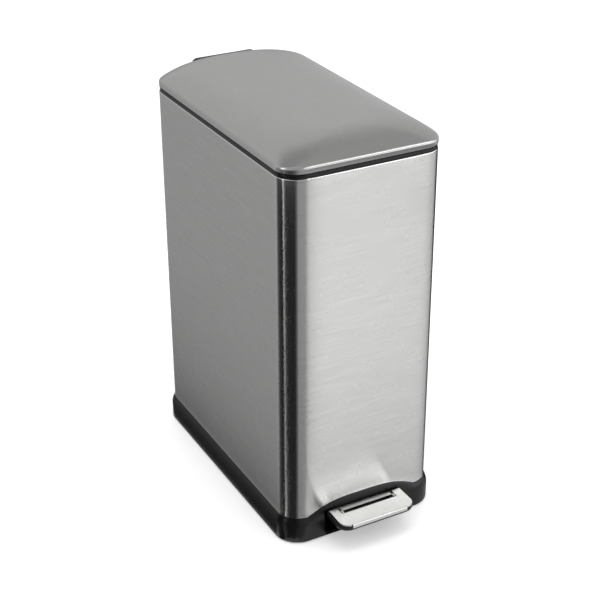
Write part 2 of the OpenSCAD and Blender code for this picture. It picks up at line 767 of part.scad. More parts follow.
module damper_clips() color("#202022")
    for (z = [damper_z + clip_block_h, damper_z + damper_h - 2 * clip_block_h]) difference() {
        block([damper_x - clip_block_x, yb - steel_t - guide_d, z],
              [damper_x + clip_block_x, yb - steel_t, z + clip_block_h]);
        post(damper_x, rod_y, z - overrun, z + clip_block_h + overrun, damper_r + running);
    }

body_shell();
top_rim();
base();
floor_pan();
feet();
pan_screws();
front_bucket();
rear_bucket();
front_bail();
rear_bail();
lid_bumpers();
hinge_bracket();
hinge_pin();
hinge_screws();
lid_skin();
lid_liner();
lid_hinge();
hinge_cover();
crank_pin();
lid_screws();
pedal_plate();
pedal_tray();
pedal_lever();
lever_roller();
pivot_bracket();
pivot_pin();
pivot_clips();
lever_stop();
push_rod();
rod_head();
rod_foot();
rod_collar();
upper_guide();
lower_guide();
damper_body();
damper_rod();
damper_clips();
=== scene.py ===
"""Slim pedal bin for two waste streams: brushed steel sleeve and domed lid on black mouldings.

Lengths are in millimetres until a mesh is made. X is across the front, Y runs to the rear, Z is up.
"""
import math

import bmesh
import bpy
from mathutils import Matrix, Vector

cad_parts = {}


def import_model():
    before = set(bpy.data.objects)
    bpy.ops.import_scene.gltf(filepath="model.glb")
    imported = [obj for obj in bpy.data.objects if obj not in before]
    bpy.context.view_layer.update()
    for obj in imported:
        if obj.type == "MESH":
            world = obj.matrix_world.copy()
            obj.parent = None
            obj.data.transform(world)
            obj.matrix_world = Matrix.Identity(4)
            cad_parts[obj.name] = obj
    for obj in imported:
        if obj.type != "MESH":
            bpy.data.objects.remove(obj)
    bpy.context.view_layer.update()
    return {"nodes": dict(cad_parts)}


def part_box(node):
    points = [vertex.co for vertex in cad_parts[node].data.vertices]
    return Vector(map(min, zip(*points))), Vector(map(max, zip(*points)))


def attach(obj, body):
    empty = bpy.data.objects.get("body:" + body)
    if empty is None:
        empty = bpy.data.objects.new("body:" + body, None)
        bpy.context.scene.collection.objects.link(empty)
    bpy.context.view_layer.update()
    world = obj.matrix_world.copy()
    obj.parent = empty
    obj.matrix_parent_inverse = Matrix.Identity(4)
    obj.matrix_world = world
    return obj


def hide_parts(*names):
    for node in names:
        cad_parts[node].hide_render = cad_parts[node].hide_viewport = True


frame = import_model()

MM = 0.001

# Camera that was fitted to the straight edges of the bin in the photo
CAMERA_AT = (-935.0, -1734.5, 1338.0)
CAMERA_YAW = 28.38
CAMERA_PITCH = 27.74
CAMERA_ROLL = -0.18
LENS_MM = 84.0
SENSOR_MM = 36.0


def corners(node):
    """Lowest and highest corner of a CAD node, in millimetres"""
    low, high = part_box(node)
    return low / MM, high / MM


# Main faces, read from the frame
SLEEVE_LOW, SLEEVE_HIGH = corners("body_shell")
HALF = SLEEVE_HIGH.x
FRONT = SLEEVE_LOW.y
REAR = SLEEVE_HIGH.y
BASE_TOP = SLEEVE_LOW.z
SLEEVE_TOP = SLEEVE_HIGH.z
BASE_LOW = corners("base")[0].z
LID_LOW = corners("lid_liner")[0].z
LID_BOTTOM = corners("lid_skin")[0].z
LID_HIGH = corners("lid_skin")[1].z

# Thickness of sheet and mouldings, and the play between parts
STEEL_T = 1.0
LID_T = 1.2
MOULD_T = 2.5
FIT = 0.3
SEAT = STEEL_T + FIT

# Upright corners of sleeve, base, rim and lid
CORNER_R = 34.0

# Lid: upright skirt, then a crown that draws in from front, rear and sides as it rises
SKIRT_H = 9.5
CROWN_LOW = LID_LOW + SKIRT_H
CROWN_RISE = LID_HIGH - CROWN_LOW
CROWN_FRONT = 72.0
CROWN_REAR = 18.0
SIDE_POWER = 5.5
CORNER_GROWTH = 20.0

# Arch over the pedal, cut in the sleeve's foot and followed by the base
ARCH_H = 18.3
ARCH_POWER = 3.5
ARCH_EASE = 1.2
ARCH_HALF = HALF - CORNER_R

# Base: it stands out at the floor, and a lip goes up inside the sleeve
FLARE = 5.0
FLARE_H = 28.0
LIP_TOP = 66.0

# Pocket in the base that the pedal moves in
POCKET_HALF = 69.0
POCKET_LOW = 8.0
POCKET_TOP = 47.0
POCKET_R = 4.0
POCKET_DEPTH = 28.0

# Tread, the slot behind it, and the lever's tongue that fills the tread's notch
TREAD_LOW, TREAD_HIGH = corners("pedal_plate")
TREAD_TOP = TREAD_HIGH.z
TREAD_HALF = TREAD_HIGH.x
TREAD_FRONT = TREAD_LOW.y
TREAD_BACK = TREAD_HIGH.y
TREAD_T = 2.0
TREAD_R = 15.0
TONGUE_HALF = 47.5
TONGUE_FRONT = FRONT - 16.5
TONGUE_BEND = FRONT - 9.0
SLOT_W = 8.0
SLOT_FRONT = TONGUE_FRONT - SLOT_W
WEB_TOP = 45.0
ARM_T = 3.0

# Buckets hang by their lips. The bails turn on pins that go through an ear on each side
SHELF_TOP = 597.5
EAR_IN = 116.5
EAR_T = 3.0
PIN_Y = {"front_bail": -96.75, "rear_bail": 110.25}


def hex_colour(code):
    """Linear colour of an sRGB hex code"""
    parts = [int(code[i:i + 2], 16) / 255 for i in (1, 3, 5)]
    return [p / 12.92 if p <= 0.04045 else ((p + 0.055) / 1.055) ** 2.4 for p in parts] + [1.0]


def add_node(tree, kind, inputs=None, **settings):
    """Adds a node. inputs gives each socket a value, or a link from another node's socket"""
    node = tree.nodes.new(kind)
    for key, value in settings.items():
        setattr(node, key, value)
    for key, value in (inputs or {}).items():
        if isinstance(value, bpy.types.NodeSocket):
            tree.links.new(value, node.inputs[key])
        else:
            node.inputs[key].default_value = value
    return node


def new_tree(material_name):
    """Empty material with its node tree"""
    material = bpy.data.materials.new(material_name)
    material.use_nodes = True
    material.node_tree.nodes.clear()
    return material, material.node_tree


# Real belt lines are about 0.1 mm apart. They are drawn coarser, so that they show.
LINE_MM = 2.2
LINE_DEPTH_MM = 0.01
# Handling and rolling leave slow changes in gloss, a few centimetres across.
CLOUD_MM = 50.0
CLOUD_GLOSS = 0.012
# Grains of plated or tumbled steel are about 0.2 mm across. They are drawn coarser, so that they show.
MOTTLE_MM = 1.2
MOTTLE_DEPTH_MM = 0.02
# The part of a noise's range that nearly all of its points lie in
MOST = {"From Min": 0.3, "From Max": 0.7}


def surface(tree, colour, shade, relief, inputs):
    """Ends a material: its colour shaded by a pattern, its relief, and the shader's other inputs"""
    base = add_node(tree, "ShaderNodeMix",
                    {"Factor": 1.0, "A": hex_colour(colour), "B": shade.outputs["Result"]},
                    data_type="RGBA", blend_type="MULTIPLY")
    shader = add_node(tree, "ShaderNodeBsdfPrincipled",
                      {"Base Color": base.outputs["Result"], "Normal": relief.outputs["Normal"], **inputs})
    add_node(tree, "ShaderNodeOutputMaterial", {"Surface": shader.outputs["BSDF"]})


def brushed_steel(name, colour, stretch, tangent, turn, roughness, anisotropy, contrast):
    """Stainless sheet, belt-brushed. Fine lines run along the belt and smear reflections across it"""
    material, tree = new_tree(name)
    place = add_node(tree, "ShaderNodeTexCoord")
    drawn_out = add_node(tree, "ShaderNodeMapping",
                         {"Vector": place.outputs["Object"],
                          "Scale": [share / (LINE_MM * MM) for share in stretch]})
    lines = add_node(tree, "ShaderNodeTexNoise",
                     {"Vector": drawn_out.outputs["Vector"], "Scale": 1.0, "Detail": 2.0})
    cloud = add_node(tree, "ShaderNodeTexNoise",
                     {"Vector": place.outputs["Object"], "Scale": 1 / (CLOUD_MM * MM), "Detail": 2.0})
    shade = add_node(tree, "ShaderNodeMapRange",
                     {"Value": lines.outputs["Fac"], "From Min": 0.25, "From Max": 0.75,
                      "To Min": 1 - contrast, "To Max": 1 + contrast})
    rough = add_node(tree, "ShaderNodeMapRange",
                     {"Value": cloud.outputs["Fac"], **MOST,
                      "To Min": roughness - CLOUD_GLOSS, "To Max": roughness + CLOUD_GLOSS})
    relief = add_node(tree, "ShaderNodeBump",
                      {"Height": lines.outputs["Fac"], "Strength": 0.1, "Distance": LINE_DEPTH_MM * MM})
    if tangent == "radial":
        along = add_node(tree, "ShaderNodeTangent", direction_type="RADIAL", axis="Z")
    else:
        along = add_node(tree, "ShaderNodeTangent", direction_type="UV_MAP", uv_map=tangent)
    surface(tree, colour, shade, relief,
            {"Metallic": 1.0, "Roughness": rough.outputs["Result"], "Anisotropic": anisotropy,
             "Anisotropic Rotation": turn, "Tangent": along.outputs["Tangent"]})
    return material


def plain_metal(name, colour, roughness):
    """Plated, drawn or tumbled steel: even, with a slight mottle in its gloss"""
    material, tree = new_tree(name)
    place = add_node(tree, "ShaderNodeTexCoord")
    mottle = add_node(tree, "ShaderNodeTexNoise",
                      {"Vector": place.outputs["Object"], "Scale": 1 / (MOTTLE_MM * MM), "Detail": 3.0})
    shade = add_node(tree, "ShaderNodeMapRange",
                     {"Value": mottle.outputs["Fac"], **MOST, "To Min": 0.92, "To Max": 1.05})
    rough = add_node(tree, "ShaderNodeMapRange",
                     {"Value": mottle.outputs["Fac"], **MOST,
                      "To Min": roughness * 0.85, "To Max": roughness * 1.15})
    relief = add_node(tree, "ShaderNodeBump",
                      {"Height": mottle.outputs["Fac"], "Strength": 0.1, "Distance": MOTTLE_DEPTH_MM * MM})
    surface(tree, colour, shade, relief, {"Metallic": 1.0, "Roughness": rough.outputs["Result"]})
    return material


def moulded_plastic(name, colour, roughness, spark_mm=0.6, depth_mm=0.03):
    """Injection-moulded polymer from a spark-eroded tool: an even, fine pebble.

    The pebble of a real tool is 0.1 to 0.3 mm across. It is drawn coarser, so that it shows.
    """
    material, tree = new_tree(name)
    place = add_node(tree, "ShaderNodeTexCoord")
    pebble = add_node(tree, "ShaderNodeTexNoise",
                      {"Vector": place.outputs["Object"], "Scale": 1 / (spark_mm * MM), "Detail": 2.0})
    cloud = add_node(tree, "ShaderNodeTexNoise",
                     {"Vector": place.outputs["Object"], "Scale": 1 / (CLOUD_MM * MM), "Detail": 1.0})
    shade = add_node(tree, "ShaderNodeMapRange",
                     {"Value": cloud.outputs["Fac"], **MOST, "To Min": 0.9, "To Max": 1.1})
    rough = add_node(tree, "ShaderNodeMapRange",
                     {"Value": cloud.outputs["Fac"], **MOST,
                      "To Min": roughness - 0.03, "To Max": roughness + 0.03})
    relief = add_node(tree, "ShaderNodeBump",
                      {"Height": pebble.outputs["Fac"], "Strength": 0.25, "Distance": depth_mm * MM})
    surface(tree, colour, shade, relief, {"Roughness": rough.outputs["Result"]})
    return material


# Sleeve: 430 stainless, brushed round the body. Its lines are level and draw every reflection up and down.
SLEEVE_STEEL = brushed_steel("brushed_steel_sleeve", "#DCDCDB", stretch=(0.04, 0.04, 1), tangent="radial",
                             turn=0.25, roughness=0.27, anisotropy=1.0, contrast=0.05)
# Sheared and deburred edge of the sheet: smoother than the face and lighter in colour, a painted highlight
# that draws a thin light line.
EDGE_HIGHLIGHT_STEEL = plain_metal("steel_edge_painted_highlight", "#F2F2F0", 0.2)
# Lid: the same sheet, brushed from front to rear before it was drawn to shape, so a little softer.
LID_STEEL = brushed_steel("brushed_steel_lid", "#D8D8D7", stretch=(1, 0.04, 1), tangent="grain",
                          turn=0.25, roughness=0.28, anisotropy=0.85, contrast=0.03)
# Tread: brushed steel, worn smooth by shoes. Its colour is lighter than the sleeve's: painted light, so that
# its top reads near white.
TREAD_STEEL = brushed_steel("brushed_steel_tread", "#EFEFED", stretch=(1, 0.06, 1), tangent="radial",
                            turn=0.0, roughness=0.28, anisotropy=0.6, contrast=0.05)
# Lever: the same steel, tumbled after pressing, so it shines softly even close to the black base. Its colour
# is lighter than the sleeve's: painted light, so that the tongue reads near white.
LEVER_STEEL = plain_metal("tumbled_steel_lever", "#F6F6F4", 0.5)
# Zinc plate: a cool, slightly cloudy shine.
ZINC_STEEL = plain_metal("zinc_plated_steel", "#B4B6B8", 0.3)
# Drawn wire and rod: brighter and smoother than plate.
DRAWN_STEEL = plain_metal("drawn_steel_wire", "#C6C7C8", 0.22)
# ABS of the base, rim, tray and hinge cap: black, with a satin sheen that draws pale lines along its edges.
BLACK_ABS = moulded_plastic("black_abs_satin", "#0F0F10", 0.3)
# Polypropylene inside the bin: duller and a little greyer.
BLACK_PP = moulded_plastic("black_pp_liner", "#202122", 0.5, spark_mm=0.9, depth_mm=0.05)
GREY_PP = moulded_plastic("grey_pp_bucket", "#54575A", 0.45, spark_mm=0.8, depth_mm=0.04)
BLUE_PP = moulded_plastic("blue_pp_bucket", "#3D6687", 0.45, spark_mm=0.8, depth_mm=0.04)
# Acetal: waxy white, nearly without texture.
WHITE_ACETAL = moulded_plastic("white_acetal", "#DCDCD6", 0.35, spark_mm=1.5, depth_mm=0.01)
# Rubber: matt, with a coarse skin.
BLACK_RUBBER = moulded_plastic("black_rubber", "#262626", 0.75, spark_mm=0.7, depth_mm=0.06)


class Shape:
    """Points in millimetres and faces, gathered from several surfaces"""

    def __init__(self):
        self.points = []
        self.faces = []

    def grid(self, rows, wrap_rows=False, wrap_columns=False):
        """Quads between rows of points of equal length"""
        start = len(self.points)
        height, width = len(rows), len(rows[0])
        for row in rows:
            self.points.extend(row)
        for i in range(height if wrap_rows else height - 1):
            for j in range(width if wrap_columns else width - 1):
                a = start + i * width + j
                b = start + i * width + (j + 1) % width
                c = start + ((i + 1) % height) * width + (j + 1) % width
                d = start + ((i + 1) % height) * width + j
                self.faces.append((a, b, c, d))

    def cap(self, ring):
        """One flat face over a ring of points"""
        start = len(self.points)
        self.points.extend(ring)
        self.faces.append(tuple(range(start, start + len(ring))))

    def prism(self, outline, low, high, axis="z"):
        """Flat outline, extruded along an axis between two places"""
        spot = {"z": lambda u, v, w: (u, v, w), "x": lambda u, v, w: (w, u, v),
                "y": lambda u, v, w: (u, w, v)}[axis]
        rings = [[spot(u, v, w) for u, v in outline] for w in (low, high)]
        self.grid(rings, wrap_columns=True)
        for ring in rings:
            self.cap(ring)

    def lathe(self, profile, centre, axis="z", steps=32):
        """Profile of (radius, height) turned about an axis through centre, from pole to pole"""
        turn = {"z": lambda a, b, h: (a, b, h), "x": lambda a, b, h: (h, a, b),
                "y": lambda a, b, h: (a, h, b)}[axis]
        angles = [2 * math.pi * k / steps for k in range(steps)]
        rows = [[tuple(c + d for c, d in zip(centre, turn(r * math.cos(a), r * math.sin(a), h)))
                 for a in angles] for r, h in profile]
        self.grid(rows, wrap_columns=True)


# Points as close as this are joined
JOIN_MM = 0.002
# Radius of a lathe profile at its pole: so small that the ring joins to a point
POLE = JOIN_MM / 2


def arc(cx, cy, r, start, stop, steps):
    """Points along an arc, angles in degrees"""
    angles = [math.radians(start + (stop - start) * k / steps) for k in range(steps + 1)]
    return [(cx + r * math.cos(a), cy + r * math.sin(a)) for a in angles]


def rounded(points, radius, steps=3):
    """Closed outline with each corner cut to a short curve of about radius, within its share of a side"""
    share = 0.45
    result = []
    for i, (x, y) in enumerate(points):
        corner = Vector((x, y))
        sides = []
        for other in (points[i - 1], points[(i + 1) % len(points)]):
            side = Vector(other) - corner
            reach = min(radius, side.length * share)
            sides.append(corner + side.normalized() * reach)
        for k in range(steps + 1):
            t = k / steps
            point = sides[0] * (1 - t) ** 2 + corner * 2 * t * (1 - t) + sides[1] * t * t
            result.append((point.x, point.y))
    return result


def both_sides(a, b):
    """Spans between two distances from the middle line, on the left and on the right"""
    return [sorted((side * a, side * b)) for side in (-1, 1)]


def plan(half, y0, y1, r_front, r_rear, straight, bend):
    """Columns (x, y, nx, ny) round a rectangle with round corners, from the front left"""
    columns = []
    spans = [((-half + r_front, y0), (half - r_front, y0), (0, -1)),
             ((half, y0 + r_front), (half, y1 - r_rear), (1, 0)),
             ((half - r_rear, y1), (-half + r_rear, y1), (0, 1)),
             ((-half, y1 - r_rear), (-half, y0 + r_front), (-1, 0))]
    pivots = [(half - r_front, y0 + r_front, r_front, -90), (half - r_rear, y1 - r_rear, r_rear, 0),
              (-half + r_rear, y1 - r_rear, r_rear, 90), (-half + r_front, y0 + r_front, r_front, 180)]
    for (a, b, normal), (cx, cy, r, start) in zip(spans, pivots):
        for k in range(straight):
            t = k / straight
            columns.append((a[0] + (b[0] - a[0]) * t, a[1] + (b[1] - a[1]) * t, *normal))
        for k in range(bend):
            angle = math.radians(start + 90 * k / bend)
            nx, ny = math.cos(angle), math.sin(angle)
            columns.append((cx + r * nx, cy + r * ny, nx, ny))
    return columns


BODY_PLAN = plan(HALF, FRONT, REAR, CORNER_R, CORNER_R, straight=48, bend=20)


def sweep(shape, columns, profile):
    """Carries a profile of (offset, z) round the plan. A function gives each column a profile of its own"""
    rows = []
    for column in columns:
        x, y, nx, ny = column
        section = profile(column) if callable(profile) else profile
        rows.append([(x + nx * e, y + ny * e, z) for e, z in section])
    shape.grid(rows, wrap_rows=True, wrap_columns=True)


def raw_mesh(name, shape):
    """Mesh of a shape, in metres"""
    mesh = bpy.data.meshes.new(name)
    mesh.from_pydata([Vector(p) * MM for p in shape.points], [], shape.faces)
    return mesh


def joined_mesh(name, shape):
    """Mesh of a shape with its seams closed and its faces turned outward"""
    mesh = raw_mesh(name, shape)
    work = bmesh.new()
    work.from_mesh(mesh)
    bmesh.ops.remove_doubles(work, verts=work.verts, dist=JOIN_MM * MM)
    bmesh.ops.dissolve_degenerate(work, edges=work.edges, dist=JOIN_MM * MM / 2)
    bmesh.ops.recalc_face_normals(work, faces=work.faces)
    work.to_mesh(mesh)
    work.free()
    return mesh


def put(name, data):
    """Puts a mesh, lamp or camera in the scene"""
    thing = bpy.data.objects.new(name, data)
    bpy.context.scene.collection.objects.link(thing)
    return thing


def thicken(piece, wall, outward=False, even=False):
    """Gives a surface its wall, on the inside unless told otherwise"""
    solid = piece.modifiers.new("wall", "SOLIDIFY")
    solid.thickness = wall * MM
    solid.offset = 1 if outward else -1
    solid.use_even_offset = even


def ease_edges(piece, width, segments=3):
    """Rounds off the sharp edges of a piece"""
    edges = piece.modifiers.new("edges", "BEVEL")
    edges.width = width * MM
    edges.segments = segments
    edges.limit_method = "ANGLE"
    edges.harden_normals = True


def cut(piece, shape):
    """Cuts a closed shape out of a piece"""
    mesh = joined_mesh("cutter", shape)
    cutter = put("cutter", mesh)
    modifier = piece.modifiers.new("cut", "BOOLEAN")
    modifier.operation = "DIFFERENCE"
    modifier.solver = "EXACT"
    modifier.object = cutter
    bpy.context.view_layer.update()
    evaluated = piece.evaluated_get(bpy.context.evaluated_depsgraph_get())
    result = bpy.data.meshes.new_from_object(evaluated)
    piece.modifiers.remove(modifier)
    old = piece.data
    piece.data = result
    result.name = old.name
    bpy.data.meshes.remove(old)
    bpy.data.objects.remove(cutter)
    bpy.data.meshes.remove(mesh)


def build(name, shape, finish, body, replaced=(), sharp=35, bevel=0.0):
    """Makes a piece that rides on a body. Edges above the sharp angle, in degrees, are shaded as edges"""
    mesh = joined_mesh(name, shape)
    mesh.shade_smooth()
    mesh.set_sharp_from_angle(angle=math.radians(sharp))
    mesh.materials.append(finish)
    piece = put(name, mesh)
    if bevel:
        ease_edges(piece, bevel)
    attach(piece, body)
    if replaced:
        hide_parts(*replaced)
    return piece


def arch_top(x):
    """Height of the arch's edge over the pedal"""
    share = min(abs(x) / ARCH_HALF, 1)
    return BASE_TOP + ARCH_H * (1 - share ** ARCH_POWER) ** ARCH_EASE


# A column whose normal comes this close to straight ahead lies on the flat front face
AHEAD = 0.999


def foot_of(column):
    """Height of the sleeve's lower edge at a column of the plan"""
    x, _, _, ny = column
    return arch_top(x) if ny < -AHEAD else BASE_TOP


# Bending the sheet left its front face a little hollow beside the corners: how deep, and how far in
DRAW_IN = 0.6
DRAW_REACH = 40.0


def drawn_in(column):
    """How far the sheet is pulled in at a column of the plan: on the front face and round its two corners"""
    x, _, _, ny = column
    if ny > AHEAD - 1:
        return 0.0
    if ny < -AHEAD:
        away = min((HALF - CORNER_R - abs(x)) / DRAW_REACH, 1)
        return DRAW_IN * (1 - away) ** 3
    turned = 1 - math.asin(-ny) / (math.pi / 2)
    slope = 3 * DRAW_IN / DRAW_REACH
    length = CORNER_R * math.pi / 2
    return DRAW_IN * (1 + 2 * turned) * (1 - turned) ** 2 + length * slope * turned * (1 - turned) ** 2


def sleeve():
    """Steel sheet bent round the body. Its top edge is rolled in and its foot stands out a hair"""
    roll, roll_h = 0.9, 1.7
    lip, lip_h = 0.45, 1.6
    back = STEEL_T + 0.2

    def profile(column):
        foot = foot_of(column)
        inward = drawn_in(column)
        low, high = foot + lip_h, SLEEVE_TOP - roll_h
        outer = [(lip * 0.6 - inward, foot), (lip - inward, foot + 0.35),
                 (lip * 0.35 - inward, foot + lip_h * 0.6)]
        outer += [(-inward, low + (high - low) * t) for t in (0, 0.02, 0.2, 0.5, 0.8, 0.98, 1)]
        top = [(-min(inward + roll * (1 - math.cos(a)), back - 0.05), high + roll_h * math.sin(a))
               for a in (math.radians(18 * k) for k in range(1, 6))]
        return outer + top + [(-back, SLEEVE_TOP - 0.2), (-back, foot + 0.2)]

    shape = Shape()
    sweep(shape, BODY_PLAN, profile)
    piece = build("steel_sleeve", shape, SLEEVE_STEEL, "root", ["body_shell"], sharp=60)
    # The rolled top and the foot take the lighter edge steel: a painted highlight line along both edges
    piece.data.materials.append(EDGE_HIGHLIGHT_STEEL)
    for face in piece.data.polygons:
        x, y, z = face.center / MM
        foot = arch_top(x) if y < FRONT + back else BASE_TOP
        face.material_index = int(z > SLEEVE_TOP - roll_h or z < foot + lip_h)


def flare_at(z, top):
    """How far the base stands out past the sleeve at a height"""
    return FLARE if z <= FLARE_H else FLARE * (1 - ((z - FLARE_H) / (top - FLARE_H)) ** 2)


def rounded_box_outline(half, low, high, r):
    """Outline of a rectangle with round corners, centred on x"""
    spots = [(half - r, low + r, -90), (half - r, high - r, 0), (-half + r, high - r, 90),
             (-half + r, low + r, 180)]
    return [p for cx, cy, a in spots for p in arc(cx, cy, r, a, a + 90, 6)]


def base():
    """Flared base: outer wall with its arch, floor, and a pocket for the pedal"""
    foot_r = 2.0
    top_r = 0.7
    rises = 8

    def profile(column):
        top = foot_of(column)
        rise = [FLARE_H + (top - top_r - FLARE_H) * k / rises for k in range(1, rises + 1)]
        outer = arc(FLARE - foot_r, BASE_LOW + foot_r, foot_r, -90, 0, 4)
        outer += [(FLARE, FLARE_H * 0.6), (FLARE, FLARE_H)]
        outer += [(flare_at(z, top), z) for z in rise]
        ledge = [(-top_r * 0.5, top - top_r * 0.2), (-top_r, top), (-SEAT, top)]
        lip = [(-SEAT, LIP_TOP), (-SEAT - MOULD_T, LIP_TOP), (-SEAT - MOULD_T, (BASE_TOP + FLARE_H) / 2)]
        inner = [(FLARE - MOULD_T, FLARE_H), (FLARE - MOULD_T, BASE_LOW)]
        return outer + ledge + lip + inner

    wall = Shape()
    sweep(wall, BODY_PLAN, profile)
    inside = FLARE - MOULD_T - 0.01
    wall.prism([(x + nx * inside, y + ny * inside) for x, y, nx, ny in BODY_PLAN], BASE_LOW,
               BASE_LOW + MOULD_T)
    piece = build("base_moulding", wall, BLACK_ABS, "root", ["base"], sharp=30)
    inner = rounded_box_outline(POCKET_HALF, POCKET_LOW, POCKET_TOP, POCKET_R)
    mouth = Shape()
    mouth.prism(inner, FRONT - 4 * FLARE, FRONT + SEAT + 2 * MOULD_T, "y")
    cut(piece, mouth)

    outer = rounded_box_outline(POCKET_HALF + MOULD_T, POCKET_LOW - MOULD_T, POCKET_TOP + MOULD_T,
                                POCKET_R + MOULD_T)
    start, end = FRONT - MOULD_T, FRONT + POCKET_DEPTH
    tunnel = Shape()
    tunnel.grid([[(x, y, z) for x, z in ring]
                 for ring, y in ((inner, start), (inner, end), (outer, end), (outer, start))],
                wrap_rows=True, wrap_columns=True)
    build("pedal_pocket", tunnel, BLACK_ABS, "root")


def level_at(x, y):
    """Share of the crown's height over a point of the plan"""

    def outside(t):
        """How far the point lies outside the crown's outline at a share of its height"""
        half = HALF * (1 - t) ** (1 / SIDE_POWER)
        ease = 1 - math.sqrt(1 - t)
        y0 = FRONT + CROWN_FRONT * ease
        y1 = REAR - CROWN_REAR * ease
        r = min(CORNER_R + CORNER_GROWTH * t, half, (y1 - y0) / 2)
        dx = abs(x) - half + r
        dy = max(y0 + r - y, y - y1 + r)
        return math.hypot(max(dx, 0), max(dy, 0)) + min(max(dx, dy), 0) - r

    low, high = 0.0, 1.0 - 1e-9
    if outside(high) < 0:
        return 1.0
    halvings = 40
    for _ in range(halvings):
        middle = (low + high) / 2
        if outside(middle) < 0:
            low = middle
        else:
            high = middle
    return low


def crown_rows(rings=44):
    """Rows of the crown's outer surface, from the edge to the middle line and closest near the edge"""
    first, crowding = 0.4, 1.7
    middle_front, middle_rear = FRONT + HALF, REAR - HALF
    rows = []
    for k in range(rings + 1):
        share = (k / rings) ** crowding
        row = []
        for x, y, _, _ in BODY_PLAN:
            mx, my = 0.0, min(max(y, middle_front), middle_rear)
            reach = math.hypot(mx - x, my - y)
            inward = min(first + share * reach, reach) if k else 0.0
            px, py = x + (mx - x) * inward / reach, y + (my - y) * inward / reach
            row.append((px, py, CROWN_LOW + CROWN_RISE * level_at(px, py)))
        rows.append(row)
    return rows


def eased_crown(fillet):
    """Skirt and crown as one surface, with a fillet between them"""
    skirt_rows, fillet_rows = (0, 0.06, 0.12, 0.5), 8
    crown = crown_rows()
    columns = []
    for j, (x, y, _, _) in enumerate(BODY_PLAN):
        line = [Vector(row[j]) for row in crown]
        edge = line[0]
        low = Vector((x, y, LID_BOTTOM))
        start = edge - Vector((0, 0, fillet))
        reach, k = 0.0, 0
        while reach < fillet:
            reach += (line[k + 1] - line[k]).length
            k += 1
        skirt = [low.lerp(start, t) for t in skirt_rows]
        curve = [start * (1 - t) ** 2 + edge * 2 * t * (1 - t) + line[k] * t * t
                 for t in (i / (fillet_rows - 1) for i in range(fillet_rows))]
        columns.append(skirt + curve + line[k + 1:])
    # A column that lost more points to the fillet gets them back in the longest steps of its crown
    longest = max(len(column) for column in columns)
    for column in columns:
        while len(column) < longest:
            steps = range(len(skirt_rows) + fillet_rows, len(column) - 1)
            spot = max(steps, key=lambda i: (column[i + 1] - column[i]).length)
            column.insert(spot + 1, column[spot].lerp(column[spot + 1], 0.5))
    return [[tuple(column[i]) for column in columns] for i in range(longest)]


def grain_map(piece, top):
    """UV map whose u runs from front to rear over the top and on down the skirt"""
    layer = piece.data.uv_layers.new(name="grain")
    normals = piece.data.vertex_normals
    for loop in piece.data.loops:
        point = piece.data.vertices[loop.vertex_index].co
        normal = normals[loop.vertex_index].vector
        drop = top * MM - point.z
        layer.data[loop.index].uv = (point.y + drop * normal.y, point.x + drop * normal.x)


def lid_dome():
    """Drawn steel lid: upright skirt, soft fillet and a crown that falls away to each edge"""
    shape = Shape()
    shape.grid(eased_crown(fillet=2.8), wrap_columns=True)
    piece = build("lid_dome", shape, LID_STEEL, "lid", ["lid_skin"], sharp=80)
    grain_map(piece, LID_HIGH)
    thicken(piece, LID_T, even=True)


def lid_liner():
    """Moulded liner inside the lid, with a flange that the skirt sits on"""
    wall = 2.0
    shape = Shape()
    rows = crown_rows(24)
    shape.grid([[(x, y, LID_LOW) for x, y, _ in rows[0]]] + rows, wrap_columns=True)
    piece = build("liner_moulding", shape, BLACK_PP, "lid", ["lid_liner"], sharp=50)
    inside = piece.modifiers.new("gap", "DISPLACE")
    inside.strength = -(LID_T + FIT) * MM
    inside.mid_level = 0
    thicken(piece, wall)
    # The flange's rim is chamfered. It lies in the dark gap under the skirt
    flange_top, flange_w = LID_LOW + 1.2, 5
    flange = Shape()
    sweep(flange, BODY_PLAN, rounded([(-FIT, LID_LOW), (-FIT, LID_LOW + 0.2), (-1.1, flange_top),
                                      (-flange_w, flange_top), (-flange_w, LID_LOW)], 0.1, 2))
    build("liner_flange", flange, BLACK_ABS, "lid")


def top_rim():
    """Moulded rim in the sleeve's mouth, with the shelf that the buckets hang on and a deck at the rear"""
    low, high = corners("top_rim")
    shelf_low, shelf_w = SHELF_TOP - 3.0, 7.0
    inner = SEAT + MOULD_T
    shelf_end = inner + shelf_w
    shape = Shape()
    sweep(shape, BODY_PLAN, rounded(
        [(-SEAT, low.z), (-SEAT, high.z), (-inner, high.z), (-inner, SHELF_TOP), (-shelf_end, SHELF_TOP),
         (-shelf_end, shelf_low), (-inner, shelf_low), (-inner, low.z)], 0.9))
    # The deck is open in the middle of its rear edge, where the lid's crank comes through
    deck_front = REAR - 33.0 - shelf_w
    slot_half, slot_front = 14.0, 215.6
    back = REAR - inner
    side = HALF - inner - shelf_w / 2
    turn = CORNER_R * 0.62
    deck = [(-side, deck_front), (side, deck_front), (side, back - turn), (side - turn, back),
            (slot_half, back), (slot_half, slot_front), (-slot_half, slot_front), (-slot_half, back),
            (-side + turn, back), (-side, back - turn)]
    shape.prism(rounded(deck, 1.0, 2), shelf_low + 0.01, SHELF_TOP - 0.01)
    build("rim_moulding", shape, BLACK_ABS, "root", ["top_rim"], sharp=40)


